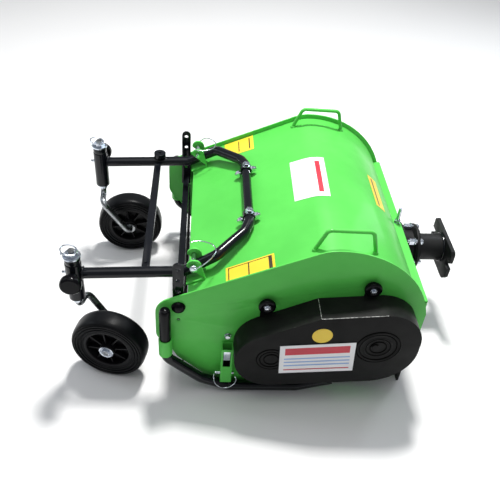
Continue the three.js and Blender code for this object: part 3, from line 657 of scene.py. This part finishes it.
# ---- casters -------------------------------------------------------------------------------------
SWIVELS = {"left": -13, "right": 2}
WHEEL_R, WHEEL_HALF, OFFSET, TRAIL = 98.9, 28.6, 4.6, 75.0
AXLE_Z = 99
BAR_TOP_Z, BAR_BEND_Z, BAR_REACH, BAR_R, BAR_BEND = 401, 215, 52, 9, 22
COLLAR = [(9, 0), (15.4, 0), (16, 0.6), (16, 4.4), (15.4, 5), (9, 5)]
SPACER = [(9.4, 362.4), (18.6, 362.4), (19, 363), (19, 379), (18.6, 380), (9.4, 380)]
TOP_WASHER = [(9.4, 380.4), (21, 380.4), (21.5, 381), (21.5, 384.4), (21, 385), (9.4, 385)]
LOW_COLLAR = [(9.2, 238.2), (12.2, 238.2), (12.8, 239), (12.8, 245.8), (16.4, 246), (16.8, 246.4),
              (16.8, 249), (16.4, 249.5), (9.2, 249.5)]
# how far in from the wheel's half width each point of the tyre's flank lies
FLANK = [(64.4, 5), (69, 3.6), (70.4, 1.2), (73.6, 1), (75, 3.4), (77.4, 3.4), (78.8, 0.4), (81.8, 0.3),
         (83.2, 3), (85, 3), (86.4, 0), (89, 0.2), (90.4, 3.2), (91.8, 3.4), (93, 1.8), (95, 3.2),
         (97, 6.5), (98.1, 11), (WHEEL_R, 17)]
HUB_SIDE = [(9.6, 29.6), (19, 29.6), (20, 28.6), (21.5, 5), (55, 4), (57, 22.6), (58.6, 24), (64, 24)]
HUB_RING = [(9.4, 0), (18.6, 0), (19.2, 0.8), (19.2, 3), (17, 4.4), (14.6, 3.4), (14, 2.2), (9.4, 2.2)]
RIBS, RIB_SIZE, RIB_MIDDLE = 8, (38, 41, 3.6), 38.4


def caster_bar(half, side, place):
    """The bent round bar that carries the wheel, with the collar inboard of the hub."""
    inboard = -side * BAR_REACH
    end = side * (OFFSET + WHEEL_HALF + 9)
    route = [(0, 0, BAR_TOP_Z), (0, 0, BAR_BEND_Z), (0, inboard, BAR_BEND_Z), (-TRAIL, inboard, AXLE_Z),
             (-TRAIL, end, AXLE_Z)]
    crank = swept(bmesh.new(), route_points(route, BAR_BEND), BAR_R, 28, round_ends=1.4)
    turned(crank, (-TRAIL, side * (OFFSET - WHEEL_HALF - 3), AXLE_Z), (0, -side, 0), COLLAR, 32)
    piece("caster_bar_" + half, placed(crank, place), "crank_steel", "caster_" + half,
          replaces=("caster_crank_" + half,))


def caster_top(half, place):
    """The spacer, washers, nut and linchpin that hold the bar in its tube."""
    spacer = turned(bmesh.new(), (0, 0, 0), UP, SPACER, 40)
    piece("caster_spacer_" + half, placed(spacer, place), "black_paint", "caster_" + half)
    cap = turned(bmesh.new(), (0, 0, 0), UP, TOP_WASHER, 40)
    hexagon(cap, (0, 0, 385.2), UP, 26, 11, 2)
    turned(cap, (0, 0, 0), UP, LOW_COLLAR, 36)
    ring = [(19 * math.cos(a) + 6, 19 * math.sin(a) * 0.95, 398.5 + 3.5 * math.cos(a)) for a in full_turn(14)]
    swept(cap, wire_points(ring, True, 4), 1.7, 10, closed=True)
    rod(cap, (-15, -6, 391), (24, 9.6, 391), 2.6, 14, 0.8)
    piece("caster_top_" + half, placed(cap, place), "zinc_plate", "caster_" + half,
          replaces=("caster_cap_" + half,))


def wheel(half, side, place):
    """A solid tyre on a ribbed hub, with the ring and the axle nut on its outer side."""
    middle = side * OFFSET
    axle = (-TRAIL, middle, AXLE_Z)
    flank = [(r, WHEEL_HALF - inset) for r, inset in FLANK]
    tyre = turned(bmesh.new(), axle, (0, 1, 0), both_sides(flank), 96)
    piece("solid_tyre_" + half, placed(tyre, place), "tyre", "wheel_" + half, replaces=("tyre_" + half,))
    hub = turned(bmesh.new(), axle, (0, 1, 0), both_sides(HUB_SIDE), 64)
    for k in range(RIBS):
        spoke = math.radians(360 / RIBS * k + 10)
        rib = bmesh.ops.create_cube(hub, size=1)["verts"]
        bmesh.ops.scale(hub, vec=RIB_SIZE, verts=rib)
        bmesh.ops.translate(hub, vec=(RIB_MIDDLE, 0, 0), verts=rib)
        for vert in rib:
            if vert.co.x > RIB_MIDDLE:
                vert.co.y *= 0.86
        turn = Matrix.Translation(axle) @ Matrix.Rotation(spoke, 4, "Y")
        bmesh.ops.transform(hub, matrix=turn, verts=rib)
    piece("ribbed_hub_" + half, placed(hub, place), "black_plastic", "wheel_" + half,
          replaces=("wheel_hub_" + half,))
    outward = (0, side, 0)
    ring = turned(bmesh.new(), (-TRAIL, middle + side * (WHEEL_HALF + 1.2), AXLE_Z), outward, HUB_RING, 44)
    piece("hub_ring_" + half, placed(ring, place), "zinc_plate", "wheel_" + half)
    nut = hexagon(bmesh.new(), (-TRAIL, middle + side * (WHEEL_HALF + 3.6), AXLE_Z), outward, 19, 5.4)
    piece("axle_nut_" + half, placed(nut, place), "zinc_plate", "caster_" + half)


for half, side in SIDES:
    swivel = Matrix.Rotation(math.radians(SWIVELS[half]), 4, "Z")
    place = Matrix.Translation((CASTER_X, side * CASTER_Y, 0)) @ swivel
    caster_bar(half, side, place)
    caster_top(half, place)
    wheel(half, side, place)


# ---- coupling and rear ---------------------------------------------------------------------------
REARWARD = Vector((-1, 0, 0))
DRIVE_Z = 237
STUDS, STUD_CIRCLE_R, STUD_TURN = 6, 58.6, 52.8
STUD_WASHER = [(0, 0), (10.6, 0), (11, 0.4), (11, 2.4), (0, 2.4)]
SEAM_X, SEAM_R = -720, 39.4
REAR_STUD_X, REAR_STUD_Z = -576.5, 321.4
REAR_STUD = [(0, 0), (9, 0), (9, 2), (5, 2.4), (5, 46), (3.8, 49), (0, 50.4)]

studs = bmesh.new()
for k in range(STUDS):
    a = math.radians(STUD_TURN + 360 / STUDS * k)
    y, z = STUD_CIRCLE_R * math.cos(a), DRIVE_Z + STUD_CIRCLE_R * math.sin(a)
    rod(studs, (-606, y, z), (-652, y, z), 5, 16, 0.8)
    hexagon(studs, (-611, y, z), REARWARD, 17, 15)
    turned(studs, (-626, y, z), REARWARD, STUD_WASHER, 28)
    hexagon(studs, (-642.2, y, z), REARWARD, 15, 7)
piece("coupling_studs", placed(studs), "zinc_plate", "mower_body")

seam = [(SEAM_X, SEAM_R * math.cos(a), DRIVE_Z + SEAM_R * math.sin(a)) for a in full_turn(24)]
weld = swept(bmesh.new(), wire_points(seam, True, 3), 2.8, 10, closed=True)
piece("coupling_weld", placed(weld), "black_paint", "mower_body")

stud = turned(bmesh.new(), (REAR_STUD_X, 0, REAR_STUD_Z), UP, REAR_STUD, 24)
hexagon(stud, (REAR_STUD_X, 0, REAR_STUD_Z + 2.2), UP, 15, 8)
piece("rear_stud", placed(stud), "zinc_plate", "mower_body")


# ---- belt cover knobs ----------------------------------------------------------------------------
COVER_KNOBS = {"front": (-194, 310), "rear": (-438, 373)}
KNOB_GRIP = [(5.2, 318), (18.6, 318), (20.6, 319.2), (21.2, 321.4), (21.2, 325), (20.2, 327.6), (17.6, 329),
             (13, 329), (10.6, 327.8), (5.2, 327.6)]
KNOB_STUD = [(0, 303.4), (4.6, 303.4), (5, 304), (5, 333), (3.6, 334.4), (0, 334.8)]
KNOB_WASHER = [(0, 327.6), (8.4, 327.6), (8.4, 329.4), (0, 329.4)]

for where, (x, z) in COVER_KNOBS.items():
    body = "cover_knob_" + where
    knob = turned(bmesh.new(), (x, 0, z), (0, 1, 0), KNOB_GRIP, 48)
    piece("cover_knob_grip_" + where, placed(knob), "vinyl", body, replaces=(body,))
    stud = turned(bmesh.new(), (x, 0, z), (0, 1, 0), KNOB_STUD, 24)
    turned(stud, (x, 0, z), (0, 1, 0), KNOB_WASHER, 28)
    hexagon(stud, (x, 313, z), (0, 1, 0), 13, 4.6)
    piece("cover_knob_stud_" + where, placed(stud), "zinc_plate", body)


# ---- stickers: plain panels and bands, with no lettering -----------------------------------------
WHOLE = (0, 1, 0, 1)
STICKER_THICK, STICKER_STEP = 0.2, 0.12
HOOD_PANEL = [(-268, 77, 0), (-355.5, 84, 0), (-360, -93, 0), (-270, -98, 0)]
NEAR_NOTICE = [(-94, 303, 0), (-206, 303, 0), (-206, 246, 0), (-94, 249, 0)]
FAR_NOTICE = [(-98, -232, 0), (-181, -229, 0), (-181, -303, 0), (-98, -303, 0)]
REAR_NOTICE = [(-489, -88, 0), (-516, -88, 0), (-516, 52, 0), (-489, 52, 0)]
COVER_PANEL = [(-228, 234.6, 0), (-410, 252, 0), (-418, 147, 0), (-234, 133, 0)]


def sticker(name, surface, corners, layers, lift=0.45):
    """A sticker of flat layers, each a little above the last: layers is [look, inset]."""
    for i, (look, inset) in enumerate(layers):
        made = patch(surface, corners, lift + STICKER_STEP * i, inset, STICKER_THICK)
        piece(f"{name}_{i + 1}", made, look, "mower_body", smooth=30)


sticker("hood_panel", hood_surface, HOOD_PANEL,
        [("white_label", WHOLE), ("red_label", (0.7, 0.84, 0.1, 0.9))])
sticker("near_notice", hood_surface, NEAR_NOTICE,
        [("yellow_label", WHOLE), ("dark_label", (0.05, 0.07, 0.08, 0.92)),
         ("dark_label", (0.46, 0.485, 0.08, 0.92)), ("dark_label", (0.88, 0.95, 0.08, 0.92)),
         ("dark_label", (0.05, 0.95, 0.08, 0.11)), ("dark_label", (0.05, 0.95, 0.89, 0.92))])
sticker("far_notice", hood_surface, FAR_NOTICE,
        [("yellow_label", WHOLE), ("dark_label", (0.84, 0.88, 0.12, 0.88)),
         ("dark_label", (0.48, 0.51, 0.12, 0.88))])
sticker("rear_notice", hood_surface, REAR_NOTICE,
        [("yellow_label", WHOLE), ("dark_label", (0.3, 0.45, 0.06, 0.94))])
sticker("cover_panel", cover_surface, COVER_PANEL,
        [("white_label", WHOLE), ("red_label", (0.07, 0.93, 0.1, 0.34)),
         ("blue_label", (0.06, 0.94, 0.46, 0.5)), ("blue_label", (0.06, 0.94, 0.58, 0.62)),
         ("blue_label", (0.06, 0.94, 0.7, 0.74)), ("red_label", (0.06, 0.94, 0.86, 0.89))], 2)


# ---- the belt cover's bright edge (painted highlight and wear), pressed rings (painted shade) and disc ---
PRESSED_RINGS = {(-467, 233): (54, 45.5, 30, 20), (-211, 183): (36, 28, 18)}

# thin near-white rods along the cover's sharp edges: a painted highlight, with patchy wear
edge = bmesh.new()
corner = (-315.4, COVER_Y - 0.5, 328.6)
rod(edge, corner, (-470, COVER_Y - 0.5, 343.6), 0.7, 8)
rod(edge, corner, (-315.4, 312, 328.6), 0.7, 8)
piece("cover_edge_wear_and_highlight", placed(edge), "edge_wear_and_highlight", "mower_body")

# the rings' near-black colour is painted shade in the pressed grooves, darker than the cover paint
rings = bmesh.new()
for (x, z), radii in PRESSED_RINGS.items():
    for radius in radii:
        route = []
        for a in full_turn(72):
            point = Vector((x + radius * math.cos(a), COVER_Y + 0.35, z + radius * math.sin(a)))
            route.append((point, Vector((-math.sin(a), 0, math.cos(a)))))
        swept(rings, route, 1.5, 8, closed=True)
piece("cover_pressed_rings", placed(rings), "painted_ring_shade", "mower_body")

plate = [(0, 0), (24.5, 0), (24.5, 0.3), (0, 0.3)]
disc = turned(bmesh.new(), (-325, COVER_Y + 0.2, 272), (0, 1, 0), plate, 56)
piece("cover_disc", placed(disc), "yellow_label", "mower_body")


# ---- floor and light -----------------------------------------------------------------------------
FLOOR_REACH, FLOOR_Z = 15, -0.0005
ground = bpy.data.meshes.new("floor")
floor_corners = [(x * FLOOR_REACH, y * FLOOR_REACH, FLOOR_Z) for x, y in ((-1, -1), (1, -1), (1, 1), (-1, 1))]
ground.from_pydata(floor_corners, [], [(0, 1, 2, 3)])
ground.materials.append(MATERIALS["floor"])
floor = bpy.data.objects.new("floor", ground)
bpy.context.scene.collection.objects.link(floor)


def area_light(name, place, target, size, power, colour=(1, 1, 1)):
    """A rectangular soft light at place, turned to face target."""
    lamp = bpy.data.lights.new(name, "AREA")
    lamp.shape = "RECTANGLE"
    lamp.size, lamp.size_y = size
    lamp.energy = power
    lamp.color = colour
    thing = bpy.data.objects.new(name, lamp)
    thing.location = place
    way = Vector(target) - Vector(place)
    thing.rotation_euler = way.to_track_quat("-Z", "Y").to_euler()
    bpy.context.scene.collection.objects.link(thing)


area_light("key", (-0.1, -0.9, 3.2), (0, 0, 0.3), (0.4, 0.4), 124, (1, 0.99, 0.97))
area_light("soft_top", (0.2, 0.6, 3.0), (0, 0, 0.3), (2.6, 2.2), 24)
area_light("rear_strip", (-1.9, -1.6, 1.7), (0, 0, 0.3), (0.5, 2.4), 14, (0.85, 0.93, 1))
area_light("front_strip", (2.1, -0.4, 1.8), (0.2, 0, 0.3), (0.5, 1.6), 8, (0.85, 0.93, 1))

# the surroundings: white overhead, a little darker and bluer towards the ground
world = bpy.data.worlds.new("studio")
world.use_nodes = True
bpy.context.scene.world = world
sky = world.node_tree
gradient = node(sky, "ShaderNodeTexGradient")
mapping = node(sky, "ShaderNodeMapping", Rotation=(0, math.radians(-90), 0), Location=(0.5, 0, 0),
               Scale=(0.5, 0.5, 0.5))
sky.links.new(node(sky, "ShaderNodeTexCoord").outputs["Generated"], mapping.inputs["Vector"])
sky.links.new(mapping.outputs["Vector"], gradient.inputs["Vector"])
tone = mixed(sky, gradient.outputs["Fac"], (0.5, 0.52, 0.56), (1, 1, 1))
sky.links.new(tone, sky.nodes["Background"].inputs["Color"])
sky.nodes["Background"].inputs["Strength"].default_value = 0.42


# ---- camera: a pinhole fitted to the photograph's view -------------------------------------------
CAMERA_PLACE = (0.1861, 1.358, 1.4014)
YAW, PITCH, ROLL = math.radians(-5.87), math.radians(40.82), math.radians(5.34)
# the focal length and the picture's width, both in pixels, and the sensor's width in millimetres
FOCAL, PICTURE, SENSOR = 640, 500, 36

turn = Matrix.Rotation(YAW, 3, "Z")
right, forward = turn @ Vector((-1, 0, 0)), turn @ Vector((0, -1, 0))
look = math.cos(PITCH) * forward - math.sin(PITCH) * UP
over = math.sin(PITCH) * forward + math.cos(PITCH) * UP
side_axis = math.cos(ROLL) * right + math.sin(ROLL) * over
top_axis = -math.sin(ROLL) * right + math.cos(ROLL) * over
lens = bpy.data.cameras.new("camera")
lens.sensor_width = SENSOR
lens.lens = SENSOR * FOCAL / PICTURE
camera = bpy.data.objects.new("camera", lens)
facing = Matrix((side_axis, top_axis, -look)).transposed().to_4x4()
camera.matrix_world = Matrix.Translation(CAMERA_PLACE) @ facing
bpy.context.scene.collection.objects.link(camera)
bpy.context.scene.camera = camera
bpy.context.scene.view_settings.view_transform = "Standard"
